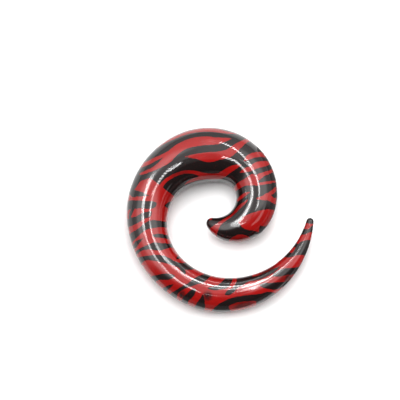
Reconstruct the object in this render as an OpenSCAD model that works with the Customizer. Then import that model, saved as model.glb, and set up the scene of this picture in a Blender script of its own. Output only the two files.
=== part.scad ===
// Spiral ear taper: one solid acrylic rod wound in a flat, open coil.
// The rod swells from a blunt head inside the coil to its full gauge at the far side of the
// first turn, where it is worn, and then thins all the way round to a slim round tip.
// It lies on its side, as it rests on a table by itself, on its thickest stretch and on the
// far side of the outer turn, so the coil leans a few degrees.
// Origin: the middle of its box, on the table. +Z is up, and the tip points along +Y.

/* [Taper] */
// Thickness of the rod where it is worn, its thickest place
gauge = 10; // [4:0.5:20]
// How widely the coil is wound, where 1 is the usual winding
coil_spread = 1; // [0.9:0.05:1.4]

/* [Skin] */
// Degrees of the coil from one ring of the skin to the next
ring_step = 4; // [3:1:8]
// Corners of each ring
ring_corners = 28; // [12:4:36]

/* [Hidden] */

// Columns of the table of sections
REACH = 0;
THICK = 1;
// Gauge that the table is written for, and every length is scaled from it
TABLE_GAUGE = 10;
// One row for each section, evenly spaced round the coil from the head to the tip: how far
// the middle of the rod is from the coil's centre, and the rod's thickness, both in mm
SECTIONS = [
    // reach, thick
    [4.35,  2.1],
    [5.70,  4.3],
    [7.10,  6.3],
    [7.85,  7.2],
    [8.20,  7.4],
    [8.55,  8.0],
    [8.60,  8.8],
    [8.45,  9.7],
    [8.50,  10.2],
    [9.05,  9.5],
    [10.05, 8.5],
    [11.20, 7.9],
    [12.60, 7.2],
    [14.25, 6.5],
    [15.95, 6.4],
    [17.60, 6.5],
    [18.30, 5.3],
    [18.45, 3.1],
    [18.25, 1.3],
];
LAST = len(SECTIONS) - 1;
// Degrees of the coil from one row to the next, and where the first and last rows are,
// counted anticlockwise from +X
ROW_TURN = 24.3;
HEAD = -90;
TIP = HEAD + LAST * ROW_TURN;

// Turns of the three places where the rod touches the table, two of them close together on
// the thickest stretch and one on the outer turn, with the coil's weight over the line
// between them
FEET = [101, 107, 269];
// Rings that round off each end
END_RINGS = 4;
// Half the turn over which a direction is measured, in degrees
NUDGE = 0.25;

SCALE = gauge / TABLE_GAUGE;

// A column of the table at any turn, as a smooth curve that the rows pull on. The row past
// each end carries on from the last two, so that the curve starts and stops on a row.
function row(i, column) =
    i < 0 ? 2 * SECTIONS[0][column] - SECTIONS[1][column]
    : i > LAST ? 2 * SECTIONS[LAST][column] - SECTIONS[LAST - 1][column]
    : SECTIONS[i][column];

function section(turn, column) =
    let (place = (turn - HEAD) / ROW_TURN,
         i = max(0, min(LAST - 1, floor(place))),
         t = place - i)
    ((1 - t)^3 * row(i - 1, column) + (3 * t^3 - 6 * t^2 + 4) * row(i, column)
    + (3 * t^2 - 3 * t^3 + 3 * t + 1) * row(i + 1, column) + t^3 * row(i + 2, column)) / 6;

// The middle of the rod, its radius, the way it runs and how fast it swells, at any turn
function middle(turn) =
    section(turn, REACH) * SCALE * coil_spread * [cos(turn), sin(turn), 0];
function radius(turn) = section(turn, THICK) / 2 * SCALE;
function run(turn) = middle(turn + NUDGE) - middle(turn - NUDGE);
function heading(turn) = run(turn) / norm(run(turn));
function swelling(turn) = (radius(turn + NUDGE) - radius(turn - NUDGE)) / norm(run(turn));

// A circle on the ball of the rod's radius at a turn, at a latitude towards the heading
function ring(turn, latitude) =
    let (ahead = heading(turn), side = cross(ahead, [0, 0, 1]), r = radius(turn),
         hub = middle(turn) + r * sin(latitude) * ahead)
    [for (i = [0 : ring_corners - 1])
        let (a = 360 * i / ring_corners)
        hub + r * cos(latitude) * (cos(a) * side + sin(a) * [0, 0, 1])];

// The skin touches the ball at this latitude, behind its middle where the rod swells
function touch(turn) = -asin(swelling(turn));

RING_COUNT = round((TIP - HEAD) / ring_step);
HEAD_LATITUDES = [for (i = [1 : END_RINGS - 1]) -90 + (90 + touch(HEAD)) * i / END_RINGS];
TIP_LATITUDES = [for (i = [1 : END_RINGS - 1]) touch(TIP) + (90 - touch(TIP)) * i / END_RINGS];
RINGS = concat(
    [for (latitude = HEAD_LATITUDES) ring(HEAD, latitude)],
    [for (i = [0 : RING_COUNT]) let (turn = HEAD + (TIP - HEAD) * i / RING_COUNT)
        ring(turn, touch(turn))],
    [for (latitude = TIP_LATITUDES) ring(TIP, latitude)]);
POINTS = concat(
    [middle(HEAD) - radius(HEAD) * heading(HEAD)],
    [for (circle = RINGS) each circle],
    [middle(TIP) + radius(TIP) * heading(TIP)]);

// Triangles between the rings, and a fan over each end
function corner(circle, i) = 1 + circle * ring_corners + i % ring_corners;
END_POINT = len(POINTS) - 1;
FACES = [for (i = [0 : ring_corners - 1]) each concat(
    [[0, corner(0, i), corner(0, i + 1)]],
    [for (c = [0 : len(RINGS) - 2]) each [
        [corner(c, i), corner(c + 1, i), corner(c + 1, i + 1)],
        [corner(c, i), corner(c + 1, i + 1), corner(c, i + 1)]]],
    [[END_POINT, corner(len(RINGS) - 1, i + 1), corner(len(RINGS) - 1, i)]])];

// The table's normal, seen from the coil: each foot's middle is its radius above the table
FOOT = [for (turn = FEET) middle(turn)];
STEP_A = FOOT[1] - FOOT[0];
STEP_B = FOOT[2] - FOOT[0];
RISE_A = radius(FEET[1]) - radius(FEET[0]);
RISE_B = radius(FEET[2]) - radius(FEET[0]);
AREA = cross(STEP_A, STEP_B).z;
LEAN_X = (RISE_A * STEP_B.y - RISE_B * STEP_A.y) / AREA;
LEAN_Y = (RISE_B * STEP_A.x - RISE_A * STEP_B.x) / AREA;
UP = [LEAN_X, LEAN_Y, sqrt(1 - LEAN_X^2 - LEAN_Y^2)];
ACROSS = cross([0, 1, 0], UP) / norm(cross([0, 1, 0], UP));
AWAY = cross(UP, ACROSS);

// The points laid down on the table, with the origin under the middle of their box
LAID = [for (p = POINTS) [p * ACROSS, p * AWAY, p * UP]];
XS = [for (p = LAID) p.x];
YS = [for (p = LAID) p.y];
ZS = [for (p = LAID) p.z];
BASE = [(min(XS) + max(XS)) / 2, (min(YS) + max(YS)) / 2, min(ZS)];

module spiral_taper() {
    color([0.70, 0.10, 0.09])
        polyhedron(points = [for (p = LAID) p - BASE], faces = FACES, convexity = 6);
}

spiral_taper();
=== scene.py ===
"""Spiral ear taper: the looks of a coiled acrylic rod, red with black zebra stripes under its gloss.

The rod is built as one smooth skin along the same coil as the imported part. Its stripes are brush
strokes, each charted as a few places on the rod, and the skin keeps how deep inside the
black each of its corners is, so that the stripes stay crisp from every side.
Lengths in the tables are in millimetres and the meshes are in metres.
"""

import logging
import math
from dataclasses import dataclass, field
from enum import Enum
from typing import Any, Iterable, Union

import bpy
import numpy as np
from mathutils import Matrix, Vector


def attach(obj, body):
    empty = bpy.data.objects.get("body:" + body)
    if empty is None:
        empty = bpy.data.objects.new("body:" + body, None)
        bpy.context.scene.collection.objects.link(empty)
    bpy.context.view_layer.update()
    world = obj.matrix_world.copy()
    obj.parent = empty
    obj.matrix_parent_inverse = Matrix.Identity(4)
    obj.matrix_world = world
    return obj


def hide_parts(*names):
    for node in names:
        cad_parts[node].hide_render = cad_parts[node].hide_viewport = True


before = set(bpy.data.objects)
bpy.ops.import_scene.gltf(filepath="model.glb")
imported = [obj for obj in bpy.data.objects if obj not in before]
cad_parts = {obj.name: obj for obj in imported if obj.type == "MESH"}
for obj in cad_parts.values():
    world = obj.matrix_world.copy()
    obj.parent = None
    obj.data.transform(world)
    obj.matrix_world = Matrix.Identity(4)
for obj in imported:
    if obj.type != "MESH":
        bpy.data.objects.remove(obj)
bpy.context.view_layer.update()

BODY = "root"
NODE = "spiral_taper"
MM = 0.001

log = logging.getLogger("spiral_taper")


class Ink(Enum):
    """The two colours of the print."""

    RED = "red"
    BLACK = "black"


@dataclass(frozen=True)
class Section:
    """One section of the rod.

    Attributes:
        reach: How far the middle of the rod is from the coil's centre, in mm.
        thick: The rod's thickness there, in mm.
    """

    reach: float
    thick: float


# The rod's sections, evenly spaced round the coil from the head to the tip
SECTIONS = (
    Section(4.35, 2.1), Section(5.70, 4.3), Section(7.10, 6.3), Section(7.85, 7.2),
    Section(8.20, 7.4), Section(8.55, 8.0), Section(8.60, 8.8), Section(8.45, 9.7),
    Section(8.50, 10.2), Section(9.05, 9.5), Section(10.05, 8.5), Section(11.20, 7.9),
    Section(12.60, 7.2), Section(14.25, 6.5), Section(15.95, 6.4), Section(17.60, 6.5),
    Section(18.30, 5.3), Section(18.45, 3.1), Section(18.25, 1.3),
)


@dataclass(frozen=True)
class Places:
    """Places on the rod's skin, as arrays of one shape.

    Attributes:
        along: How far along the rod from the head, in mm.
        round: The way round the rod in degrees: 0 is outward, 90 is up and 180 is inward.
        radius: The rod's radius there, in mm.
        stretch: The skin's length for each mm along the rod, less inside the coil and more outside.
    """

    along: np.ndarray
    round: np.ndarray
    radius: np.ndarray
    stretch: np.ndarray


def way_round(turn: np.ndarray, start: float, radius: np.ndarray) -> np.ndarray:
    """Returns how far round the rod turns are from a start, in mm, by the shorter way."""
    return np.radians((turn - start + 180) % 360 - 180) * radius


@dataclass(frozen=True)
class Stroke:
    """One brush stroke of the print.

    Attributes:
        ink: The colour it is painted in.
        rows: Where it goes, each row holding mm along the rod, degrees round it and mm of width.
    """

    ink: Ink
    rows: tuple[tuple[float, float, float], ...]

    # Steps of the curve from one row to the next
    STEPS = 8
    # The depth is worked out as far past the stroke's ends as it is wide, and this many mm more
    MARGIN = 1.5
    # How far outside the stroke any place past that is taken to be, in mm
    FAR = 9.0
    # The least square of a step's length, in mm2, so that nothing is divided by zero
    SHORTEST = 1e-9

    def path(self) -> np.ndarray:
        """Draws the rows as a smooth curve that passes through each of them.

        Returns:
            The curve's points, with the same three numbers each as a row.
        """
        rows = np.array(self.rows, float)
        ends = np.vstack([2 * rows[0] - rows[1], rows, 2 * rows[-1] - rows[-2]])
        points = []
        for a, b, c, d in zip(ends, ends[1:], ends[2:], ends[3:]):
            for t in np.arange(self.STEPS) / self.STEPS:
                bend = 2 * a - 5 * b + 4 * c - d
                twist = 3 * (b - c) + d - a
                points.append(b + ((c - a) * t + bend * t**2 + twist * t**3) / 2)
        points.append(rows[-1])
        path = np.array(points)
        path[:, 2] = path[:, 2].clip(0)
        return path

    def depth(self, places: Places) -> np.ndarray:
        """Measures how far inside the stroke's edge each place is.

        Args:
            places: The places on the skin.

        Returns:
            The depths in mm, below zero outside the stroke.
        """
        path = self.path()
        margin = path[:, 2].max() + self.MARGIN
        near = (places.along > path[:, 0].min() - margin) & (places.along < path[:, 0].max() + margin)
        along, turn = places.along[near], places.round[near]
        radius, stretch = places.radius[near], places.stretch[near]
        best = np.full(along.shape, -self.FAR)
        for start, end in zip(path, path[1:]):
            x = (along - start[0]) * stretch
            y = way_round(turn, start[1], radius)
            run_x = (end[0] - start[0]) * stretch
            run_y = math.radians(end[1] - start[1]) * radius
            length = np.maximum(run_x**2 + run_y**2, self.SHORTEST)
            share = ((x * run_x + y * run_y) / length).clip(0, 1)
            half = (start[2] + (end[2] - start[2]) * share) / 2
            best = np.maximum(best, half - np.hypot(x - share * run_x, y - share * run_y))
        depths = np.full(places.along.shape, -self.FAR)
        depths[near] = best
        return depths


def red(*rows: tuple[float, float, float]) -> Stroke:
    """Returns a red stroke through its rows."""
    return Stroke(Ink.RED, rows)


def black(*rows: tuple[float, float, float]) -> Stroke:
    """Returns a black stroke through its rows."""
    return Stroke(Ink.BLACK, rows)


@dataclass(frozen=True)
class Patch:
    """A soft round patch on the skin.

    Attributes:
        along: Its middle along the rod, in mm.
        round: Its middle round the rod, in degrees.
        half_along: Half its length along the rod, in mm.
        half_round: Half its length round the rod, in mm.
        strength: How strong it is in its middle, from 0 to 1.
    """

    along: float
    round: float
    half_along: float
    half_round: float
    strength: float = 1.0

    # How steeply it falls to its edge, where 1 falls all the way from the middle
    STEEPNESS = 1.8

    def cover(self, places: Places) -> np.ndarray:
        """Measures how much of the patch each place gets.

        Args:
            places: The places on the skin.

        Returns:
            The patch's strength in its middle, falling to 0 at its edge.
        """
        x = (places.along - self.along) * places.stretch / self.half_along
        y = way_round(places.round, self.round, places.radius) / self.half_round
        return (self.STEEPNESS * (1 - np.hypot(x, y))).clip(0, 1) * self.strength


# Red strokes on the black head, from its end to the thickest section
HEAD_STROKES = (
    red((-0.2, 98, 0.1), (-0.2, 112, 0.4), (-0.1, 130, 0.5), (0.1, 150, 0.2)),
    red(
        (1.6, -60, 0.8), (1.5, -20, 1.4), (1.4, 20, 1.3), (1.5, 50, 1.2), (1.8, 80, 0.9),
        (2.4, 105, 0.7), (3.6, 125, 0.6), (5.2, 134, 0.6), (7.2, 138, 0.8), (8.6, 132, 0.8),
        (9.6, 123, 0.5), (10.5, 115, 0.1)),
    red(
        (5.0, 49, 0.2), (5.0, 38, 1.2), (4.95, 25, 2.0), (4.9, 5, 2.4), (5.0, -25, 2.2),
        (5.3, -55, 0.8)),
    red(
        (5.8, 93, 0.2), (6.5, 87, 1.5), (7.1, 77, 2.5), (7.7, 64, 2.9), (8.2, 50, 3.0), (8.5, 30, 3.0),
        (8.8, 5, 2.8), (9.0, -25, 2.2), (9.2, -60, 0.6)),
    black((7.6, 44, 0.1), (7.6, 30, 0.5), (7.6, 15, 0.9), (7.6, -8, 1.0), (7.5, -40, 0.8)),
    red((9.9, 172, 0.4), (10.4, 155, 1.1), (11.1, 140, 1.0), (11.8, 126, 0.8), (12.2, 112, 0.2)),
    red(
        (10.9, 90, 0.2), (11.1, 76, 0.6), (11.5, 58, 1.1), (11.2, 38, 0.7), (11.3, 15, 0.9),
        (11.4, -20, 0.8), (11.5, -50, 0.2)),
    red((11.7, 60, 0.5), (12.3, 42, 0.6), (12.8, 22, 0.6), (13.2, 0, 0.5), (13.6, -30, 0.3)),
    red(
        (13.6, 92, 0.5), (13.6, 70, 0.4), (13.7, 45, 0.3), (13.8, 20, 0.3), (13.9, -10, 0.4),
        (13.9, -40, 0.1)),
    red(
        (15.1, 215, 0.6), (14.9, 185, 1.5), (14.8, 160, 1.9), (14.9, 138, 1.9), (14.85, 120, 1.7),
        (14.7, 100, 2.3)),
    red(
        (14.5, 100, 1.4), (14.8, 82, 1.0), (15.0, 62, 0.6), (15.1, 40, 0.4), (15.3, 15, 0.5),
        (15.5, -15, 0.6), (15.6, -45, 0.2)),
    red(
        (17.7, 118, 0.1), (17.3, 105, 0.8), (16.8, 90, 0.9), (16.7, 72, 1.0), (16.4, 50, 0.8),
        (16.3, 25, 0.5), (16.3, 0, 0.6), (16.2, -35, 0.2)),
    red(
        (18.7, 90, 0.2), (18.5, 76, 0.8), (18.1, 58, 0.8), (17.7, 38, 0.8), (17.4, 15, 0.8),
        (17.3, -15, 0.8), (17.2, -45, 0.1)),
)

# Red strokes on the black over the thickest section
WORN_STROKES = (
    red(
        (18.7, 104, 0.3), (19.6, 117, 1.0), (20.6, 131, 1.5), (21.7, 145, 1.8), (23.1, 156, 1.9),
        (25.0, 158, 1.9), (26.6, 150, 1.3), (28.0, 139, 0.8), (30.0, 128, 0.6), (32.0, 121.5, 0.6),
        (34.0, 116, 0.6), (35.3, 112, 0.6), (36.9, 110, 0.7)),
    red((26.0, 158, 1.4), (28.2, 157, 1.1), (30.3, 158, 0.8), (32.2, 160, 0.1)),
    red(
        (19.6, -45, 0.2), (19.7, -15, 0.6), (20.0, 15, 0.5), (20.3, 42, 0.6), (20.7, 62, 0.9),
        (21.2, 80, 1.3), (22.0, 95, 1.5), (23.6, 104, 1.5), (25.4, 108, 1.8), (27.2, 103, 1.0),
        (29.2, 96, 0.1)),
    red(
        (22.2, 57, 0.2), (23.3, 67, 1.0), (24.5, 72, 1.6), (26.5, 71, 1.9), (28.6, 70, 1.8),
        (30.4, 73, 1.8), (32.0, 78, 1.7), (33.4, 77, 1.2), (34.7, 71, 0.8), (35.7, 60, 0.6),
        (36.4, 46, 0.5), (36.8, 32, 0.2)),
    red(
        (31.4, 68, 0.7), (32.8, 61, 0.7), (34.0, 51, 0.9), (34.7, 41, 0.9), (35.2, 25, 0.9),
        (35.4, 5, 0.9), (35.5, -20, 0.6), (35.6, -50, 0.1)),
    red(
        (21.8, 28, 0.3), (23.0, 38, 1.0), (24.6, 36, 1.8), (27.2, 33, 1.8), (29.5, 30, 1.6),
        (31.5, 20, 1.2), (33.0, 5, 0.8), (34.0, -15, 0.2)),
    red((22.6, 2, 0.1), (22.9, -14, 0.8), (23.1, -35, 1.1), (23.0, -60, 0.7), (22.8, -82, 0.1)),
    red((25.5, 6, 0.1), (25.9, -9, 0.9), (26.4, -30, 1.3), (26.5, -58, 0.9), (26.2, -86, 0.1)),
    red((28.8, 4, 0.1), (29.1, -12, 0.7), (29.4, -34, 1.1), (29.3, -62, 0.7), (29.0, -84, 0.1)),
    red((31.9, -8, 0.1), (32.2, -27, 0.8), (32.2, -50, 0.9), (32.0, -76, 0.1)),
)

# Black strokes on the red of the thinning turn, down the side where the coil opens
TURN_STROKES = (
    black(
        (36.4, 72, 0.4), (36.8, 60, 0.9), (37.3, 46, 1.2), (37.9, 32, 2.4), (38.2, 20, 3.0),
        (38.3, 3, 3.3), (38.2, -25, 2.6), (38.0, -60, 0.6)),
    black((39.5, 90, 0.1), (39.55, 74, 0.6), (39.6, 57, 0.9), (39.65, 42, 1.1), (39.5, 26, 0.5)),
    black(
        (40.5, 141, 0.1), (40.2, 150, 0.8), (39.9, 158, 1.4), (39.5, 168, 1.7), (39.3, 182, 1.8),
        (39.2, 205, 1.4), (39.3, 235, 0.2)),
    black(
        (40.5, 114, 0.2), (41.0, 104, 1.4), (41.2, 90, 1.4), (41.25, 75, 1.3), (41.3, 60, 1.3),
        (41.3, 45, 1.3), (41.35, 28, 1.4), (41.4, 5, 1.4), (41.5, -25, 1.0), (41.6, -60, 0.2)),
    black(
        (42.3, 104, 0.2), (42.9, 96, 1.0), (43.15, 83, 1.1), (43.6, 68, 1.1), (43.85, 52, 1.2),
        (43.9, 35, 1.2), (43.9, 10, 1.2), (43.9, -20, 0.8), (43.9, -50, 0.2)),
    black((41.7, 54, 0.3), (42.2, 45, 0.7), (42.8, 36, 0.8), (43.4, 28, 0.3)),
    black(
        (44.9, 240, 0.2), (44.8, 205, 1.1), (44.8, 175, 1.4), (44.85, 150, 1.4), (44.8, 125, 1.45),
        (44.8, 108, 1.6), (45.0, 90, 1.3), (45.4, 74, 1.0), (45.8, 58, 1.05), (46.0, 42, 1.2),
        (46.15, 25, 1.3), (46.2, 0, 1.2), (46.2, -25, 0.8), (46.2, -60, 0.2)),
    black(
        (48.1, 225, 0.2), (48.0, 200, 0.7), (47.9, 175, 0.9), (47.9, 150, 0.95), (47.6, 133, 0.95),
        (47.3, 118, 0.85), (47.2, 108, 0.7), (46.9, 98, 0.1)),
    black(
        (47.0, 70, 0.1), (47.15, 57, 0.4), (47.3, 44, 0.7), (47.5, 28, 0.7), (47.5, 5, 0.6),
        (47.5, -25, 0.2)),
    black(
        (50.3, 235, 0.2), (50.2, 205, 0.9), (50.1, 175, 1.1), (50.15, 150, 1.1), (49.9, 130, 1.2),
        (49.65, 112, 1.45), (49.1, 95, 1.5), (48.8, 82, 1.0), (48.6, 66, 0.65), (48.5, 48, 0.5),
        (48.5, 28, 0.5), (48.5, 0, 0.5), (48.4, -25, 0.1)),
    black(
        (49.7, -50, 0.2), (49.7, -25, 0.8), (49.7, 0, 1.0), (49.8, 25, 0.9), (50.0, 45, 0.75),
        (50.4, 62, 0.85), (51.0, 78, 1.1), (51.6, 90, 1.3), (52.6, 103, 1.2), (53.9, 114, 1.0),
        (55.0, 124, 1.2), (55.9, 136, 1.7), (56.5, 150, 2.2), (56.9, 170, 2.3), (57.1, 190, 2.0),
        (57.2, 220, 0.3)),
    black((55.0, 123, 0.4), (55.8, 119, 0.9), (56.5, 114, 0.7), (57.0, 109, 0.1)),
    black((53.5, 130, 0.1), (53.5, 145, 0.6), (53.5, 165, 0.55), (53.4, 190, 0.4), (53.4, 215, 0.1)),
    black(
        (53.2, -40, 0.2), (53.2, -10, 0.9), (53.3, 20, 1.0), (53.7, 42, 0.9), (54.3, 58, 1.1),
        (55.0, 72, 1.0), (55.6, 84, 0.2)),
    black(
        (55.6, -40, 0.2), (55.6, -10, 0.7), (55.6, 15, 0.7), (55.8, 32, 0.6), (56.0, 46, 0.5),
        (56.3, 60, 0.1)),
)

# Black strokes on the red across the coil's near side
NEAR_STROKES = (
    black(
        (57.1, -50, 0.2), (57.1, -10, 1.0), (57.2, 20, 1.1), (57.35, 40, 0.7), (57.6, 55, 0.6),
        (58.0, 70, 0.6), (58.5, 82, 0.6), (58.9, 92, 0.9), (59.4, 105, 1.3), (60.1, 120, 1.7),
        (60.7, 135, 1.6), (61.0, 150, 1.5), (61.0, 170, 1.4), (61.0, 195, 1.0), (61.0, 225, 0.2)),
    black(
        (59.9, 84, 0.1), (59.7, 70, 0.9), (59.35, 50, 1.1), (59.1, 35, 1.0), (59.1, 15, 1.0),
        (59.0, -10, 0.9), (58.9, -45, 0.2)),
    black(
        (61.4, 72, 0.2), (61.5, 60, 0.6), (61.5, 45, 1.1), (61.5, 28, 1.4), (61.4, 5, 1.4),
        (61.3, -25, 0.9), (61.2, -55, 0.2)),
    black(
        (66.0, 225, 0.2), (65.9, 195, 1.1), (65.9, 165, 1.5), (65.85, 150, 1.6), (65.5, 135, 1.7),
        (65.0, 120, 1.7), (64.0, 108, 1.0), (63.0, 101, 0.8), (62.0, 97, 0.2)),
    black(
        (69.6, 225, 0.3), (69.6, 195, 2.2), (69.5, 165, 2.9), (69.2, 150, 3.0), (68.5, 136, 2.2),
        (67.9, 122, 1.4), (67.1, 110, 0.8), (66.5, 98, 0.8), (65.7, 90, 0.9), (65.1, 84, 0.2)),
    black(
        (69.3, 138, 1.4), (71.0, 128, 1.1), (72.5, 124, 1.0), (74.0, 122, 0.9), (75.3, 120, 0.7),
        (76.6, 117, 0.1)),
    black(
        (64.6, -50, 0.2), (64.6, -20, 1.8), (64.6, 10, 2.6), (64.7, 35, 1.9), (65.3, 52, 1.3),
        (66.3, 61, 1.2), (67.6, 63, 1.15), (69.0, 59, 1.2), (70.2, 49, 1.4), (71.0, 36, 2.0),
        (71.4, 18, 3.2), (71.6, -8, 3.0), (71.8, -40, 0.6)),
    black(
        (71.3, 92, 0.2), (72.1, 82, 0.9), (72.8, 70, 1.1), (73.5, 58, 1.3), (74.2, 45, 1.35),
        (74.9, 30, 1.2), (75.6, 10, 1.1), (76.0, -15, 0.8), (76.3, -45, 0.1)),
    black(
        (74.3, 100, 0.3), (75.4, 93, 1.1), (76.3, 82, 1.3), (77.0, 67, 1.2), (77.5, 50, 1.3),
        (77.9, 35, 1.3), (78.4, 12, 1.3), (78.7, -15, 1.0), (79.0, -50, 0.2)),
)

# Black strokes on the red of the tip
TIP_STROKES = (
    black(
        (79.4, 225, 0.2), (79.4, 185, 1.3), (79.45, 150, 1.4), (79.6, 125, 1.0), (80.4, 106, 0.9),
        (81.4, 92, 1.8), (82.0, 75, 2.4), (82.3, 55, 2.6), (82.6, 30, 2.7), (82.8, 0, 2.6),
        (83.0, -30, 1.6), (83.0, -60, 0.2)),
    black(
        (81.9, 225, 0.2), (81.9, 185, 1.0), (81.95, 150, 1.0), (82.05, 125, 0.7), (82.3, 108, 0.7),
        (82.5, 92, 1.0)),
    black(
        (85.0, 225, 0.2), (85.0, 185, 1.2), (85.0, 150, 1.3), (85.1, 125, 1.2), (85.3, 100, 0.8),
        (85.5, 80, 0.6), (85.7, 60, 0.7), (86.0, 40, 1.0), (86.2, 20, 1.1), (86.3, 0, 1.1),
        (86.3, -40, 0.3)),
    black(
        (87.9, 260, 2.0), (87.9, 180, 2.0), (87.8, 120, 1.9), (87.7, 90, 1.7), (87.7, 60, 1.6),
        (87.8, 30, 1.6), (87.9, 0, 1.6), (87.9, -60, 1.6)),
)

# Where a thin, mottled film of black veils the red
THIN_PATCHES = (
    Patch(4.9, 15, 1.5, 1.8, 0.45),
    Patch(7.2, 134, 3.2, 1.3, 0.35),
    Patch(31.6, 121, 3.4, 1.4, 0.50),
    Patch(58.3, 44, 0.6, 1.1, 0.90),
    Patch(62.2, 72, 1.0, 1.2, 0.95),
    Patch(67.8, 34, 2.4, 1.2, 0.75),
    Patch(74.0, 140, 2.8, 1.0, 0.75),
    Patch(75.3, 68, 0.8, 1.0, 0.50),
    Patch(76.2, 36, 1.2, 1.2, 0.85),
    Patch(53.4, 150, 0.6, 0.9, 0.60),
)


@dataclass
class ZebraPrint:
    """The stripes all round the rod.

    Attributes:
        strokes: The strokes charted by hand, painted in this order.
        thin_patches: Where a thin film of black lies over the red.
        black_until: Up to where along the rod the ground is black, in mm. Past it the ground is red.
        edge_wander: How far the black ground's edge strays from that, in mm.
        edge_waves: How many times it does so once round the rod.
        edge_start: Where in a wave it is at the outer side, in degrees.
        seed: Picks the strokes of the underside.
        under_pitch: How far apart the underside's strokes are along the rod, in mm.
        under_from_ends: How far from the rod's ends they keep, in mm.
        under_shift: How far each may be from its even place, in mm.
        under_lean: How far each may lean along the rod to either side, in mm.
        under_middle: Where round the rod they have their middles, in degrees.
        under_stagger: How far each middle may be from there, in degrees.
        under_half_turns: The least and most that one reaches up each side, in degrees.
        under_widths: The least and most of their widths, in mm.
        under_wave: How far a stroke wavers along the rod, in mm.
    """

    strokes: tuple[Stroke, ...] = (
        *HEAD_STROKES, *WORN_STROKES, *TURN_STROKES, *NEAR_STROKES, *TIP_STROKES,
    )
    thin_patches: tuple[Patch, ...] = THIN_PATCHES
    black_until: float = 36.8
    edge_wander: float = 0.2
    edge_waves: int = 3
    edge_start: float = 40.0
    seed: int = 7
    under_pitch: float = 2.3
    under_from_ends: float = 2.0
    under_shift: float = 0.5
    under_lean: float = 0.9
    under_middle: float = 270.0
    under_stagger: float = 14.0
    under_half_turns: tuple[float, float] = (42.0, 66.0)
    under_widths: tuple[float, float] = (0.45, 0.95)
    under_wave: float = 0.15

    # An underside stroke's rows, each with its share of the half turn and of the width
    UNDER_ROWS = ((-1, 0.1), (-0.6, 0.7), (-0.1, 1.0), (0.4, 0.8), (1, 0.1))

    def under_strokes(self, length: float) -> list[Stroke]:
        """Makes the plain strokes of the underside, which taper off up both sides.

        Args:
            length: The rod's length, in mm.

        Returns:
            The strokes, in the colour that shows on the ground they cross.
        """
        chance = np.random.default_rng(self.seed)
        strokes = []
        for start in np.arange(self.under_from_ends, length - self.under_from_ends, self.under_pitch):
            middle = start + chance.uniform(-self.under_shift, self.under_shift)
            lean = chance.uniform(-self.under_lean, self.under_lean)
            half_turn = chance.uniform(*self.under_half_turns)
            width = chance.uniform(*self.under_widths)
            centre = self.under_middle + chance.uniform(-self.under_stagger, self.under_stagger)
            ink = Ink.RED if middle < self.black_until else Ink.BLACK
            rows = []
            for share, swell in self.UNDER_ROWS:
                wave = chance.uniform(-self.under_wave, self.under_wave)
                rows.append((middle + lean * share + wave, centre + half_turn * share, width * swell))
            strokes.append(Stroke(ink, tuple(rows)))
        return strokes

    def black_depth(self, places: Places, length: float) -> np.ndarray:
        """Paints all the strokes in turn.

        Args:
            places: The places on the skin.
            length: The rod's length, in mm.

        Returns:
            How far inside the black each place is, in mm, below zero in the red.
        """
        wave = np.radians(self.edge_waves * places.round + self.edge_start)
        wander = self.edge_wander * np.sin(wave)
        depth = (self.black_until + wander - places.along) * places.stretch
        for stroke in [*self.under_strokes(length), *self.strokes]:
            inside = stroke.depth(places)
            if stroke.ink is Ink.BLACK:
                depth = np.maximum(depth, inside)
            else:
                depth = np.minimum(depth, -inside)
        return depth


def strongest(patches: Iterable[Patch], places: Places) -> np.ndarray:
    """Returns how much of the strongest patch each place gets, from 0 to 1."""
    return np.maximum.reduce([patch.cover(places) for patch in patches])


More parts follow.
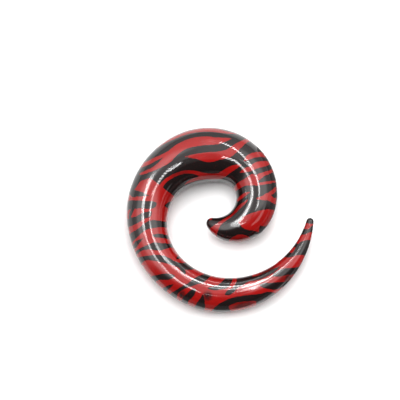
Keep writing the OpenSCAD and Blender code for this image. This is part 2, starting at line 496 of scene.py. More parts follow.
@dataclass
class Coil:
    """The middle line of the rod and its thickness, in the coil's own plane and as it lies.

    Attributes:
        sections: The rod's sections from the head to the tip.
        row_turn: Degrees of the coil from one section to the next.
        head: Where the first section is, in degrees anticlockwise from the right.
        feet: Turns of the three places where the rod touches the table, in degrees.
        samples: How many places along the coil are worked out.
    """

    sections: tuple[Section, ...] = SECTIONS
    row_turn: float = 24.3
    head: float = -90.0
    feet: tuple[float, float, float] = (101.0, 107.0, 269.0)
    samples: int = 4000
    along: np.ndarray = field(init=False)
    middle: np.ndarray = field(init=False)
    radius: np.ndarray = field(init=False)
    heading: np.ndarray = field(init=False)
    bend: np.ndarray = field(init=False)
    swelling: np.ndarray = field(init=False)

    def __post_init__(self) -> None:
        """Works out the samples along the coil."""
        tip = self.head + (len(self.sections) - 1) * self.row_turn
        turns = np.linspace(self.head, tip, self.samples)
        self.middle, self.radius = self.at_turn(turns)
        steps = np.linalg.norm(np.diff(self.middle, axis=0), axis=1)
        self.along = np.concatenate([[0.0], np.cumsum(steps)])
        self.heading = np.gradient(self.middle, self.along, axis=0)
        self.heading /= np.linalg.norm(self.heading, axis=1, keepdims=True)
        angle = np.unwrap(np.arctan2(self.heading[:, 1], self.heading[:, 0]))
        self.bend = np.gradient(angle, self.along)
        self.swelling = np.gradient(self.radius, self.along)

    @property
    def length(self) -> float:
        """The length of the middle line from the head's ball to the tip's, in mm."""
        return float(self.along[-1])

    def at_turn(self, turns: np.ndarray) -> tuple[np.ndarray, np.ndarray]:
        """Draws the smooth curve that the sections pull on.

        Args:
            turns: Degrees round the coil.

        Returns:
            The middles of the rod in the coil's plane and its radii, in mm.
        """
        rows = np.array([(s.reach, s.thick) for s in self.sections])
        rows = np.vstack([2 * rows[0] - rows[1], rows, 2 * rows[-1] - rows[-2]])
        place = (np.asarray(turns, float) - self.head) / self.row_turn
        first = np.floor(place).astype(int).clip(0, len(self.sections) - 2)
        t = (place - first)[..., None]
        pulls = ((1 - t) ** 3, 3 * t**3 - 6 * t**2 + 4, 3 * t**2 - 3 * t**3 + 3 * t + 1, t**3)
        values = sum(pull * rows[first + i] for i, pull in enumerate(pulls)) / 6
        angle = np.radians(turns)
        reach = values[..., 0]
        middle = np.stack([reach * np.cos(angle), reach * np.sin(angle), 0 * reach], -1)
        return middle, values[..., 1] / 2

    def table_axes(self) -> np.ndarray:
        """Lays the coil on its three feet.

        Returns:
            The table's own across, away and up directions, one a row, seen from the coil.
        """
        foot, radius = self.at_turn(np.array(self.feet))
        steps = foot[1:, :2] - foot[0, :2]
        rises = radius[1:] - radius[0]
        lean = np.linalg.solve(steps, rises)
        up = np.array([*lean, math.sqrt(1 - lean @ lean)])
        away = (0.0, 1.0, 0.0)
        across = np.cross(away, up)
        across /= np.linalg.norm(across)
        return np.array([across, np.cross(up, across), up])

    def sample(self, values: np.ndarray, along: np.ndarray) -> np.ndarray:
        """Reads one of the coil's arrays at any distance along it.

        Args:
            values: The array, with a row for each sample.
            along: Distances from the head, in mm, taken no further than the ends.

        Returns:
            The values there.
        """
        if values.ndim == 1:
            return np.interp(along, self.along, values)
        return np.stack([np.interp(along, self.along, column) for column in values.T], -1)


Plug = Union["Value", bpy.types.NodeSocket, float, tuple[float, ...]]

# A colour Mix node's sockets, which share their names with those for numbers
MIX_SHARE = 0
MIX_FIRST = 6
MIX_SECOND = 7
MIX_RESULT = 2


@dataclass(frozen=True)
class Value:
    """A number in a node tree that sums are written with.

    Attributes:
        sheet: The tree.
        socket: The output that the number comes out of.
    """

    sheet: "NodeSheet"
    socket: bpy.types.NodeSocket

    def maths(self, operation: str, *numbers: Plug) -> "Value":
        """Adds one Math node and returns what comes out of it."""
        inputs = dict(enumerate(numbers))
        return self.sheet.value("ShaderNodeMath", {"operation": operation}, inputs)

    def __add__(self, other: Plug) -> "Value":
        """self + other."""
        return self.maths("ADD", self, other)

    __radd__ = __add__

    def __sub__(self, other: Plug) -> "Value":
        """self - other."""
        return self.maths("SUBTRACT", self, other)

    def __rsub__(self, other: Plug) -> "Value":
        """other - self."""
        return self.maths("SUBTRACT", other, self)

    def __mul__(self, other: Plug) -> "Value":
        """self * other."""
        return self.maths("MULTIPLY", self, other)

    __rmul__ = __mul__

    def ramp(self, start: float, end: float, low: float = 0.0, high: float = 1.0) -> "Value":
        """Runs smoothly from low to high as the number goes from start to end.

        Args:
            start: The number that gives low.
            end: The number that gives high.
            low: What comes out at start and before it.
            high: What comes out at end and past it.

        Returns:
            The ramped number.
        """
        inputs = {"Value": self, "From Min": start, "From Max": end, "To Min": low, "To Max": high}
        return self.sheet.value("ShaderNodeMapRange", {"interpolation_type": "SMOOTHSTEP"}, inputs)


class NodeSheet:
    """A node tree that is written as expressions."""

    def __init__(self, tree: bpy.types.NodeTree) -> None:
        """Takes a tree and empties it.

        Args:
            tree: The node tree of a material or a world.
        """
        self.tree = tree
        tree.nodes.clear()

    def node(
        self, kind: str, settings: dict[str, Any] | None = None, inputs: dict[Any, Plug] | None = None
    ) -> bpy.types.Node:
        """Adds a node.

        Args:
            kind: The node's type.
            settings: Its properties, set before its sockets.
            inputs: A number, colour or link for each named or numbered socket.

        Returns:
            The node.
        """
        node = self.tree.nodes.new(kind)
        for name, setting in (settings or {}).items():
            setattr(node, name, setting)
        for name, plug in (inputs or {}).items():
            socket = node.inputs[name]
            if isinstance(plug, Value):
                plug = plug.socket
            if isinstance(plug, bpy.types.NodeSocket):
                self.tree.links.new(plug, socket)
            else:
                socket.default_value = plug
        return node

    def value(
        self, kind: str, settings: dict[str, Any], inputs: dict[Any, Plug], output: Any = 0
    ) -> Value:
        """Adds a node and returns one of its outputs as a number for sums."""
        return Value(self, self.node(kind, settings, inputs).outputs[output])

    def mix(self, share: Plug, first: Plug, second: Plug) -> bpy.types.NodeSocket:
        """Mixes two colours.

        Args:
            share: How much of the second colour shows, from 0 to 1.
            first: The first colour.
            second: The second colour.

        Returns:
            The mixed colour.
        """
        inputs = {MIX_SHARE: share, MIX_FIRST: first, MIX_SECOND: second}
        return self.node("ShaderNodeMix", {"data_type": "RGBA"}, inputs).outputs[MIX_RESULT]

    def output(self, kind: str, shader: bpy.types.NodeSocket) -> None:
        """Ends the tree with a material's or a world's output, fed by a shader."""
        self.node(kind, {}, {"Surface": shader})


@dataclass(frozen=True)
class Fade:
    """A number that runs smoothly from low to high as another one goes from start to end.

    Attributes:
        start: The other number that gives low.
        end: The other number that gives high.
        low: What comes out at start and before it.
        high: What comes out at end and past it.
    """

    start: float
    end: float
    low: float = 0.0
    high: float = 1.0

    def of(self, value: Value) -> Value:
        """Adds the number that goes with a value."""
        return value.ramp(self.start, self.end, self.low, self.high)


@dataclass(frozen=True)
class Unevenness:
    """A soft random unevenness of a surface.

    Attributes:
        size: The width of its lumps, in mm.
        layers: How many finer layers it has.
        fade: What comes of the bare noise, which is mostly between 0.3 and 0.7.
        fineness: How much the finer layers count for.
    """

    size: float
    layers: float
    fade: Fade = Fade(0.3, 0.7)
    fineness: float = 0.5

    # What the bare noise wanders about
    MIDDLE = 0.5

    def bare(self, sheet: NodeSheet, where: Plug) -> Value:
        """Adds the noise alone.

        Args:
            sheet: The finish's node tree.
            where: The place that it is read at, in metres.

        Returns:
            The noise.
        """
        inputs = {
            "Vector": where,
            "Scale": 1 / (self.size * MM),
            "Detail": self.layers,
            "Roughness": self.fineness,
        }
        return sheet.value("ShaderNodeTexNoise", {"noise_dimensions": "3D"}, inputs)

    def faded(self, sheet: NodeSheet, where: Plug) -> Value:
        """Adds what the fade makes of the noise at a place in metres."""
        return self.fade.of(self.bare(sheet, where))


# What the skin keeps at each point: mm inside the black, and how much thin film there is
INK_DEPTH = "ink_depth"
INK_THIN = "ink_thin"

Colour = tuple[float, float, float, float]
WHITE = (1.0, 1.0, 1.0, 1.0)


def new_material(name: str) -> tuple[bpy.types.Material, NodeSheet]:
    """Starts a finish.

    Args:
        name: The material's name.

    Returns:
        The material and its empty node tree.
    """
    material = bpy.data.materials.new(name)
    material.use_nodes = True
    return material, NodeSheet(material.node_tree)


@dataclass(frozen=True)
class PrintedAcrylic:
    """Polished acrylic in red, with a black print sealed under the gloss.

    Attributes:
        red: The rod's colour.
        deep_red: The red where the dye lies thicker.
        black: The printed black.
        edge: The width over which a stripe's edge fades, in mm.
        ragged: How far a stripe's edge strays, in mm.
        edge_noise: How the edges stray.
        pinholes: The pinholes in the print.
        pinhole_depth: How much of the black a pinhole takes away.
        mottle: How the thin film of black is spread.
        grain: The fine grain of the print and the dye.
        dye: How thick the dye lies.
        dye_share: How much of the red's unevenness is the dye's, and the rest is the grain's.
        refraction: Acrylic's index of refraction.
        polish: The roughness of the polish.
        ripple: The faint waves of the skin.
        ripple_rise: How high the waves are, in mm.
        print_rise: How high the print stands under the gloss, in mm.
        grain_rise: How high the grain is, in mm.
    """

    red: Colour = (0.316, 0.0056, 0.0048, 1.0)
    deep_red: Colour = (0.263, 0.0045, 0.0039, 1.0)
    black: Colour = (0.0097, 0.0058, 0.0058, 1.0)
    edge: float = 0.10
    ragged: float = 0.10
    edge_noise: Unevenness = Unevenness(0.55, 2)
    pinholes: Unevenness = Unevenness(0.22, 1, Fade(0.70, 0.78))
    pinhole_depth: float = 0.25
    mottle: Unevenness = Unevenness(0.45, 3, Fade(0.38, 0.56, 0.70, 1.0), 0.65)
    grain: Unevenness = Unevenness(0.12, 2)
    dye: Unevenness = Unevenness(2.6, 2)
    dye_share: float = 0.7
    refraction: float = 1.49
    polish: Unevenness = Unevenness(3.2, 3, Fade(0.35, 0.70, 0.06, 0.09))
    ripple: Unevenness = Unevenness(1.6, 1)
    ripple_rise: float = 0.0008
    print_rise: float = 0.0003
    grain_rise: float = 0.0001

    def make(self) -> bpy.types.Material:
        """Makes the finish.

        Returns:
            Its material.
        """
        material, sheet = new_material("printed_acrylic")
        where = sheet.node("ShaderNodeTexCoord").outputs["Object"]
        depth = sheet.value("ShaderNodeAttribute", {"attribute_name": INK_DEPTH}, {}, "Fac")
        thin = sheet.value("ShaderNodeAttribute", {"attribute_name": INK_THIN}, {}, "Fac")

        stray = (self.edge_noise.bare(sheet, where) - Unevenness.MIDDLE) * (2 * self.ragged)
        printed = (depth + stray).ramp(-self.edge / 2, self.edge / 2)
        grain = self.grain.bare(sheet, where)
        film = printed * (1 - self.pinholes.faded(sheet, where) * self.pinhole_depth)
        cover = film + (1 - film) * thin * self.mottle.faded(sheet, where)
        density = self.dye.faded(sheet, where) * self.dye_share + grain * (1 - self.dye_share)
        red = sheet.mix(density, self.red, self.deep_red)
        colour = sheet.mix(cover, red, self.black)

        waves = self.ripple.bare(sheet, where) * self.ripple_rise
        height = waves + printed * self.print_rise + grain * self.grain_rise
        bump = sheet.node("ShaderNodeBump", {}, {"Strength": 1.0, "Distance": MM, "Height": height})
        inputs = {
            "Base Color": colour,
            "Roughness": self.polish.faded(sheet, where),
            "IOR": self.refraction,
            "Normal": bump.outputs["Normal"],
        }
        skin = sheet.node("ShaderNodeBsdfPrincipled", {}, inputs)
        sheet.output("ShaderNodeOutputMaterial", skin.outputs["BSDF"])
        return material


@dataclass(frozen=True)
class MattWhite:
    """The pale surface that the coil lies on.

    Attributes:
        colour: Its colour.
        roughness: How rough it is, where 0 is a mirror and 1 is chalk.
        sheen: How much it mirrors.
    """

    colour: Colour = (0.90, 0.90, 0.90, 1.0)
    roughness: float = 0.75
    sheen: float = 0.1

    def make(self) -> bpy.types.Material:
        """Makes the finish.

        Returns:
            Its material.
        """
        material, sheet = new_material("matt_white")
        inputs = {
            "Base Color": self.colour,
            "Roughness": self.roughness,
            "Specular IOR Level": self.sheen,
        }
        board = sheet.node("ShaderNodeBsdfPrincipled", {}, inputs)
        sheet.output("ShaderNodeOutputMaterial", board.outputs["BSDF"])
        return material


@dataclass(frozen=True)
class Glow:
    """The evenly glowing face of a lamp or a card.

    Attributes:
        strength: How bright it is.
    """

    strength: float

    def make(self) -> bpy.types.Material:
        """Makes the finish.

        Returns:
            Its material.
        """
        material, sheet = new_material("glow")
        glow = sheet.node("ShaderNodeEmission", {}, {"Color": WHITE, "Strength": self.strength})
        sheet.output("ShaderNodeOutputMaterial", glow.outputs["Emission"])
        return material


def in_scene(name: str, data: bpy.types.ID) -> bpy.types.Object:
    """Puts a mesh, a lamp or a camera in the scene.

    Args:
        name: The object's name.
        data: What the object holds.

    Returns:
        The object.
    """
    thing = bpy.data.objects.new(name, data)
    bpy.context.scene.collection.objects.link(thing)
    return thing


def hang(thing: bpy.types.Object, place: Vector, way: Vector) -> None:
    """Hangs up a lamp or a camera.

    Args:
        thing: The lamp or the camera.
        place: Where it hangs, in metres.
        way: Which way it points.
    """
    thing.location = place
    thing.rotation_mode = "QUATERNION"
    thing.rotation_quaternion = way.to_track_quat("-Z", "Y")


def mesh_object(name: str, points: np.ndarray, faces: Iterable[Iterable[int]]) -> bpy.types.Object:
    """Makes an object from points and faces, smoothly shaded.

    Args:
        name: The object's name.
        points: The points, in metres.
        faces: The corners of each face.

    Returns:
        The object, in the scene.
    """
    mesh = bpy.data.meshes.new(name)
    mesh.from_pydata(np.asarray(points).tolist(), [], [list(face) for face in faces])
    mesh.polygons.foreach_set("use_smooth", [True] * len(mesh.polygons))
    mesh.validate()
    mesh.update()
    return in_scene(name, mesh)


def store(rod: bpy.types.Object, name: str, values: np.ndarray) -> None:
    """Keeps a number at each of the skin's points.

    Args:
        rod: The rod.
        name: The attribute's name.
        values: A number for each ring and corner. The two end points take the nearest ring's.
    """
    ends = [values[0].mean(), values[-1].mean()]
    numbers = np.concatenate([values.ravel(), ends]).astype(np.float32)
    attribute = rod.data.attributes.new(name, "FLOAT", "POINT")
    attribute.data.foreach_set("value", numbers)


@dataclass
class SpiralTaper:
    """The rod itself, in one piece with its print.

    Attributes:
        coil: The middle line and the thickness.
        stripes: The print.
        finish: The acrylic.
        ring_pitch: How far apart the rings of the skin are along the middle line, in mm.
        corners: Corners of each ring.
        end_rings: Rings that round off each end.
    """

    coil: Coil = field(default_factory=Coil)
    stripes: ZebraPrint = field(default_factory=ZebraPrint)
    finish: PrintedAcrylic = field(default_factory=PrintedAcrylic)
    ring_pitch: float = 0.16
    corners: int = 112
    end_rings: int = 18

    # The least stretch, and the least radius in mm, that a place on the skin is given
    LEAST_STRETCH = 0.15
    LEAST_RADIUS = 0.02
    # The coil's own up, square to its plane
    UP = (0.0, 0.0, 1.0)

    def rings(self) -> tuple[np.ndarray, np.ndarray]:
        """Chooses the rings of the skin.

        Returns:
            How far along the middle line the ball of each ring is, in mm, and the latitude on the
            ball that the ring runs at, in radians.
        """
        touch = -np.arcsin(self.coil.swelling)
        count = round(self.coil.length / self.ring_pitch)
        along = np.linspace(0, self.coil.length, count + 1)
        shares = np.arange(1, self.end_rings) / self.end_rings
        quarter = math.pi / 2
        head = -quarter + (quarter + touch[0]) * shares
        tip = touch[-1] + (quarter - touch[-1]) * shares
        balls = [np.zeros(len(shares)), along, np.full(len(shares), self.coil.length)]
        latitudes = [head, self.coil.sample(touch, along), tip]
        return np.concatenate(balls), np.concatenate(latitudes)

    def skin(self) -> tuple[np.ndarray, Places]:
        """Works out the skin's points and where each is on the rod.

        Returns:
            The points in the coil's own plane, in mm, and their places, for each ring and corner.
        """
        ball, latitude = self.rings()
        coil = self.coil
        heading = coil.sample(coil.heading, ball)[:, None]
        heading = heading / np.linalg.norm(heading, axis=-1, keepdims=True)
        middle = coil.sample(coil.middle, ball)[:, None]
        radius = coil.sample(coil.radius, ball)[:, None]
        side = np.cross(heading, self.UP)
        turn = np.arange(self.corners) * 360 / self.corners
        angle = np.radians(turn)[None, :, None]
        spoke = np.cos(angle) * side + np.sin(angle) * np.array(self.UP)
        tilt = latitude[:, None, None]
        points = middle + radius[..., None] * (np.cos(tilt) * spoke + np.sin(tilt) * heading)

        touch = -np.arcsin(coil.sample(coil.swelling, ball))
        past_end = (latitude - touch) * radius[:, 0]
        along = np.repeat((ball + past_end)[:, None], self.corners, 1)
        round_rod = np.repeat(turn[None], len(ball), 0)
        across = radius * np.cos(latitude)[:, None] * np.ones(self.corners)
        curve = coil.sample(coil.bend, ball)[:, None] * (past_end == 0)[:, None]
        stretch = (1 + curve * across * np.cos(np.radians(round_rod))).clip(self.LEAST_STRETCH)
        return points, Places(along, round_rod, across.clip(self.LEAST_RADIUS), stretch)

    def laid(self, points: np.ndarray) -> np.ndarray:
        """Adds the points of the head and the tip, and lays the coil on the table.

        Args:
            points: The skin's points for each ring and corner, in the coil's plane, in mm.

        Returns:
            All the points in a row, with the origin under the middle of their box.
        """
        coil = self.coil
        head_end = coil.middle[0] - coil.radius[0] * coil.heading[0]
        tip_end = coil.middle[-1] + coil.radius[-1] * coil.heading[-1]
        flat = np.vstack([points.reshape(-1, 3), head_end, tip_end])
        laid = flat @ coil.table_axes().T
        low, high = laid.min(0), laid.max(0)
        return laid - [(low[0] + high[0]) / 2, (low[1] + high[1]) / 2, low[2]]

    def faces(self, rings: int) -> list[list[int]]:
        """Joins the rings with four-sided faces, and fans out from the head's and the tip's points.

        Args:
            rings: How many rings there are.

        Returns:
            The corners of each face.
        """
        corners = self.corners
        ring, corner = np.meshgrid(np.arange(rings - 1), np.arange(corners), indexing="ij")
        here = ring * corners + corner
        beside = ring * corners + (corner + 1) % corners
        sides = np.stack([here, here + corners, beside + corners, beside], -1).reshape(-1, 4)
        head_at, tip_at = rings * corners, rings * corners + 1
        last = (rings - 1) * corners
        loop = np.arange(corners)
        following = (loop + 1) % corners
        head_fan = np.stack([np.full(corners, head_at), loop, following], -1)
        tip_fan = np.stack([np.full(corners, tip_at), last + following, last + loop], -1)
        return [*sides.tolist(), *head_fan.tolist(), *tip_fan.tolist()]

    def build(self) -> bpy.types.Object:
        """Builds the rod and dresses it.

        Returns:
            The rod's object.
        """
        points, places = self.skin()
        rod = mesh_object(NODE, self.laid(points) * MM, self.faces(len(points)))
        store(rod, INK_DEPTH, self.stripes.black_depth(places, self.coil.length))
        store(rod, INK_THIN, strongest(self.stripes.thin_patches, places))
        rod.data.materials.append(self.finish.make())
        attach(rod, BODY)
        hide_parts(NODE)
        return rod


def seen_in_gloss_only(thing: bpy.types.Object) -> None:
    """Leaves a lamp or a card to the gloss alone, out of the picture and the soft light.

    Args:
        thing: The lamp or the card.
    """
    thing.visible_camera = False
    thing.visible_diffuse = False
    thing.visible_shadow = False


@dataclass(frozen=True)
class LampStrip:
    """A row of lamps over the table, which only the gloss shows.

    Attributes:
        bends: Where the row goes, each as mm across and mm away from the origin.
        strength: How bright each lamp's face is.
        pitch: How far apart the lamps are, in mm.
        height: How high the row hangs, in mm.
        breadth: How far each lamp's face reaches across the row, in mm.
        lit_share: The length of a lamp's face along the row, for each mm of the pitch.
    """

    bends: tuple[tuple[float, float], ...]
    strength: float
    pitch: float
    height: float = 250.0
    breadth: float = 50.0
    lit_share: float = 0.38

    def build(self, name: str) -> bpy.types.Object:
        """Builds the row as one object.

        Args:
            name: The object's name.

        Returns:
            The object.
        """
        bends = np.array(self.bends, float)
        steps = np.linalg.norm(np.diff(bends, axis=0), axis=1)
        run = np.concatenate([[0.0], np.cumsum(steps)])
        at = np.arange(0, run[-1], self.pitch)
        spots = np.stack([np.interp(at, run, bends[:, 0]), np.interp(at, run, bends[:, 1])], -1)
        ahead = np.gradient(spots, axis=0)
        ahead /= np.linalg.norm(ahead, axis=1, keepdims=True)
        length = ahead * self.pitch * self.lit_share / 2
        across = ahead[:, ::-1] * (-1, 1) * self.breadth / 2
        rim = np.stack([-length - across, -length + across, length + across, length - across], 1)
        points = (spots[:, None] + rim).reshape(-1, 2)
        points = np.column_stack([points, np.full(len(points), self.height)]) * MM
        row = mesh_object(name, points, np.arange(len(points)).reshape(-1, 4).tolist())
        row.data.materials.append(Glow(self.strength).make())
        seen_in_gloss_only(row)
        return row


@dataclass(frozen=True)
class Card:
    """A flat grey card beside or over the coil, which only the gloss shows.

    Attributes:
        corners: Its corners in turn, each as mm across and mm away from the origin.
        height: How high it lies, in mm.
        glow: How bright it is.
    """

    corners: tuple[tuple[float, float], ...]
    height: float
    glow: float

    def build(self, name: str) -> bpy.types.Object:
        """Builds the card.

        Args:
            name: The object's name.

        Returns:
            The object.
        """
        points = np.array([(x, y, self.height) for x, y in self.corners]) * MM
        card = mesh_object(name, points, [range(len(points))])
        card.data.materials.append(Glow(self.glow).make())
        seen_in_gloss_only(card)
        return card


@dataclass(frozen=True)
class SoftLamp:
    """A wide round lamp with a cloth front, which lights the table and stays out of the gloss.

    Attributes:
        place: Where it hangs, in metres.
        width: How wide it is, in metres.
        power: Its power, in watts.
    """

    place: tuple[float, float, float]
    width: float
    power: float

    def build(self, name: str) -> bpy.types.Object:
        """Builds the lamp, turned to the coil.

        Args:
            name: The object's name.

        Returns:
            The lamp.
        """
        data = bpy.data.lights.new(name, "AREA")
        data.shape = "DISK"
        data.size = self.width
        data.energy = self.power
        lamp = in_scene(name, data)
        place = Vector(self.place)
        hang(lamp, place, -place)
        lamp.visible_glossy = False
        lamp.visible_camera = False
        return lamp


@dataclass(frozen=True)
class Way:
    """A way out from the coil.

    Attributes:
        azimuth: Degrees anticlockwise from the right.
        zenith: Degrees from straight up.
    """

    azimuth: float
    zenith: float

    def facing(self, sheet: NodeSheet, ray: bpy.types.NodeSocket) -> Value:
        """Adds how closely a ray goes this way.

        Args:
            sheet: The tent's node tree.
            ray: The ray's direction.

        Returns:
            The cosine of the angle between the two.
        """
        a, z = math.radians(self.azimuth), math.radians(self.zenith)
        way = (math.sin(z) * math.cos(a), math.sin(z) * math.sin(a), math.cos(z))
        settings = {"operation": "DOT_PRODUCT"}
        return sheet.value("ShaderNodeVectorMath", settings, {0: ray, 1: way}, "Value")


@dataclass(frozen=True)
class BrightWall:
    """A bright soft patch of the tent.

    Attributes:
        way: Where its middle is.
        fade: How much it adds, by the cosine of the angle from its middle.
    """

    way: Way
    fade: Fade


@dataclass(frozen=True)
class LightTent:
    """The white tent that the gloss mirrors, open and dark towards the front.

    Attributes:
        glow: How bright it is, by the sine of the height above the table.
        walls: Its brighter parts.
        overhead: How much of the brighter parts is left, by the sine of the height.
        front: Where the middle of its opening is.
        opening: How much light is left, by the cosine of the angle from that middle.
        deep_opening: How much more is gone towards that middle, by the same cosine.
    """

    glow: Fade = Fade(0.1, 0.75, 0.9, 1.45)
    walls: tuple[BrightWall, ...] = (
        BrightWall(Way(180, 30), Fade(0.80, 0.98, 0.0, 2.2)),
        BrightWall(Way(12, 32), Fade(0.82, 0.99, 0.0, 2.0)),
    )
    overhead: Fade = Fade(0.925, 0.985, 1.0, 0.0)
    front: Way = Way(281, 90)
    opening: Fade = Fade(0.20, 0.42, 1.0, 0.14)
    deep_opening: Fade = Fade(0.42, 0.65, 0.0, 0.09)

    def build(self, name: str) -> bpy.types.World:
        """Sets up the tent as the scene's world, which the picture shows as plain white.

        Args:
            name: The world's name.

        Returns:
            The world.
        """
        world = bpy.data.worlds.new(name)
        bpy.context.scene.world = world
        world.cycles_visibility.diffuse = False
        world.use_nodes = True
        sheet = NodeSheet(world.node_tree)
        ray = sheet.node("ShaderNodeTexCoord").outputs["Generated"]
        height = Way(0, 0).facing(sheet, ray)
        light = self.glow.of(height)
        for wall in self.walls:
            facing = wall.way.facing(sheet, ray)
            light = light + wall.fade.of(facing) * self.overhead.of(height)
        front = self.front.facing(sheet, ray)
        light = light * (self.opening.of(front) - self.deep_opening.of(front))
        glow = sheet.node("ShaderNodeBackground", {}, {"Color": light, "Strength": 1.0})
        pale = sheet.node("ShaderNodeBackground", {}, {"Color": WHITE, "Strength": 1.0})
        seen = sheet.node("ShaderNodeLightPath").outputs["Is Camera Ray"]
        inputs = {0: seen, 1: glow.outputs["Background"], 2: pale.outputs["Background"]}
        both = sheet.node("ShaderNodeMixShader", {}, inputs)
        sheet.output("ShaderNodeOutputWorld", both.outputs["Shader"])
        return world


@dataclass(frozen=True)
class Table:
    """The table's top, which the coil lies on.

    Attributes:
        reach: Half its width, in metres.
        finish: Its surface.
    """

    reach: float = 3.0
    finish: MattWhite = MattWhite()

    def build(self, name: str) -> bpy.types.Object:
        """Builds the table's top.

        Args:
            name: The object's name.

        Returns:
            The object.
        """
        reach = self.reach
        corners = [(-reach, -reach, 0), (reach, -reach, 0), (reach, reach, 0), (-reach, reach, 0)]
        top = mesh_object(name, np.array(corners), [range(4)])
        top.data.materials.append(self.finish.make())
        return top


@dataclass(frozen=True)
class Camera:
    """The camera, in front of the coil and above it.

    Attributes:
        aim: Where on the table it looks, in mm.
        elevation: Its height above the table, in degrees.
        distance: How far from its aim it is, in mm.
        seen_width: The width of table that fits in the picture there, in mm.
        sensor: The width of its sensor, in mm.
    """

    aim: tuple[float, float] = (-3.654, 4.711)
    elevation: float = 75.0
    distance: float = 300.0
    seen_width: float = 74.04
    sensor: float = 36.0

    def build(self, name: str) -> bpy.types.Object:
        """Sets the camera up and makes it the scene's.

        Args:
            name: The object's name.

        Returns:
            The camera.
        """
        data = bpy.data.cameras.new(name)
        data.sensor_width = self.sensor
        data.lens = self.sensor * self.distance / self.seen_width
        data.clip_start = MM
        camera = in_scene(name, data)
        rise = math.radians(self.elevation)
        back = Vector((0, -math.cos(rise), math.sin(rise)))
        hang(camera, Vector((*self.aim, 0.0)) * MM + back * self.distance * MM, -back)
        bpy.context.scene.camera = camera
        return camera


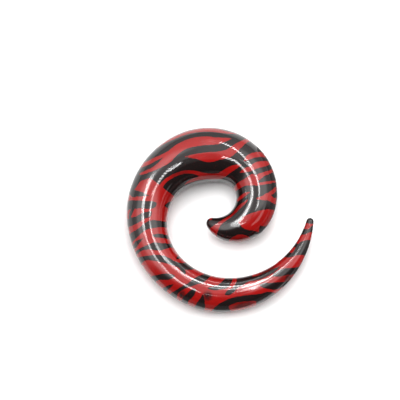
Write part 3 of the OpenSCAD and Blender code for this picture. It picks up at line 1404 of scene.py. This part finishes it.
@dataclass
class Studio:
    """The table, the light and the camera.

    Attributes:
        table: The table.
        lamps: The soft lamps, one overhead, one behind, one at the left and a low one at the right.
        strips: The rows of lamps that the gloss mirrors. The high ones draw the long lines of light
            and the bright patches, and the low ones draw short pieces of the lines.
        cards: The cards that the gloss mirrors. Those over the coil keep the rows and the tent out
            of parts of it, and those just over the table are darker than the table.
        tent: The tent.
        camera: The camera.
    """

    table: Table = Table()
    lamps: tuple[SoftLamp, ...] = (
        SoftLamp((-0.005, 0.020, 0.369), 0.36, 2.00),
        SoftLamp((0.036, 0.203, 0.283), 0.15, 0.26),
        SoftLamp((-0.233, -0.024, 0.260), 0.15, 0.26),
        SoftLamp((0.250, 0.020, 0.110), 0.12, 0.26),
    )
    strips: tuple[LampStrip, ...] = (
        LampStrip(((-118, 48), (-131, 62), (-145, 64), (-148, 50), (-137, 5)), 44.0, 8.0, breadth=30.0),
        LampStrip(((-168, 95), (-153, 62)), 40.0, 8.5, breadth=28.0),
        LampStrip(((-116, 45), (-104, 25), (-98, 2), (-97, -20)), 54.0, 8.0, breadth=28.0),
        LampStrip(((-137, 5), (-112, -33), (-85, -62), (-60, -82), (-42, -95)), 29.0, 5.0),
        LampStrip(((-42, -95), (-2, -101), (28, -87)), 40.0, 7.0, breadth=46.0),
        LampStrip(((60, -28), (50, -4), (60, 15)), 22.0, 3.6, breadth=28.0),
        LampStrip(((60, 15), (70, 38), (84, 85)), 26.0, 6.0),
        LampStrip(((84, 85), (86, 125)), 34.0, 7.5),
        LampStrip(((86, 125), (82, 160), (65, 200), (52, 215), (35, 235), (14, 270)), 68.0, 8.5),
        LampStrip(((71, -13), (59, 19), (50, 47)), 52.0, 30.0, 252.0, 9.0, 0.6),
        LampStrip(((47, 57), (37, 89), (30, 117)), 24.0, 30.0, 252.0, 7.0, 0.6),
        LampStrip(((28, 126), (20, 173), (11, 232)), 75.0, 44.0, 252.0, 3.2, 0.55),
        LampStrip(((22, 150), (14.5, 177), (1.6, 235)), 75.0, 44.0, 252.0, 3.2, 0.55),
        LampStrip(((23.8, 135), (8.6, 181), (-8, 237)), 70.0, 44.0, 252.0, 3.2, 0.55),
        LampStrip(((9, 161), (1, 164), (-9, 164), (-15, 163)), 74.0, 5.5, 252.0, 26.0),
        LampStrip(((23, 125), (16, 128), (8, 129), (-5, 126), (-16, 121)), 46.0, 5.5, 252.0, 20.0),
        LampStrip(((-7.9, 6.8), (-8.9, 6.5)), 18.0, 0.4, 15.0, 1.4),
        LampStrip(((-8.9, 6.5), (-9.8, 5.3), (-10.5, 3.7), (-10.8, 2.6)), 36.0, 0.4, 15.0, 1.4),
        LampStrip(
            ((7.3, 9.6), (6.7, 11.5), (5.8, 13.2), (4.7, 14.8), (3, 16.4), (1.1, 17.5)),
            42.0, 0.75, 15.0, 1.3),
        LampStrip(((2.5, 7.1), (1.8, 7.7), (0.8, 8.0)), 32.0, 0.5, 15.0, 1.3),
    )
    cards: tuple[Card, ...] = (
        Card(
            ((-14, -27), (0, -26), (7, -20), (14, -13.5), (20, -9), (26, -14), (20, -45), (-14, -45)),
            80.0, 0.4),
        Card(
            ((-4.4, 9.3), (-2.4, 9.5), (-1, 9.6), (0.3, 9.5), (2.2, 8.8), (3, 8.6), (5.2, 9.4),
             (6.9, 9.2), (8.5, 11), (6, 17), (1.5, 20.5), (-4, 21.5)),
            16.0, 1.7),
        Card(
            ((-7, 7.6), (-6.9, 5.6), (-5.4, 5.6), (-3, 6.4), (-0.2, 7), (0.3, 8.6), (2.2, 8.8),
             (0.3, 9.5), (-1, 9.6), (-2.4, 9.5), (-4.4, 9.3)),
            16.0, 0.45),
        Card(
            ((11, -10.8), (12.6, -8.2), (15.3, -4.6), (17.3, -1), (18.3, 4.5), (24, 4.5), (22, -12),
             (12, -13)),
            16.0, 2.2),
        Card(((-300, -400), (300, -400), (300, -30), (20, -21), (-20, -21), (-300, -30)), 0.2, 0.3),
        Card(
            ((7.6, -1.4), (14, -16), (300, -20), (300, 60), (60, 60), (16, 24), (5, 13.2), (7, 11.4),
             (8.4, 9.2), (9.2, 6.8), (9.4, 4.2), (8.9, 1.3)),
            0.2, 0.32),
        Card(
            ((2.6, -0.8), (2.6, 0.9), (0.5, 2.3), (-2.4, 2.6), (-4.5, 3), (-6.2, 1.5), (-3.8, 1.2),
             (-0.6, 1), (1.4, -0.6)),
            0.2, 0.32),
    )
    tent: LightTent = LightTent()
    camera: Camera = Camera()

    def build(self) -> None:
        """Sets up the table, the light and the camera."""
        self.table.build("table_top")
        for number, strip in enumerate(self.strips):
            strip.build(f"lamp_strip_{number}")
        for number, card in enumerate(self.cards):
            card.build(f"card_{number}")
        for number, lamp in enumerate(self.lamps):
            lamp.build(f"soft_lamp_{number}")
        self.tent.build("light_tent")
        self.camera.build("camera")
        bpy.context.scene.view_settings.view_transform = "Standard"


def main() -> None:
    """Builds the studio and the taper, and reports the piece."""
    logging.basicConfig(level=logging.INFO, format="%(message)s")
    Studio().build()
    taper = SpiralTaper()
    rod = taper.build()
    log.info("%s: %d points, %.1f mm of rod", rod.name, len(rod.data.vertices), taper.coil.length)


if __name__ == "__main__":
    main()
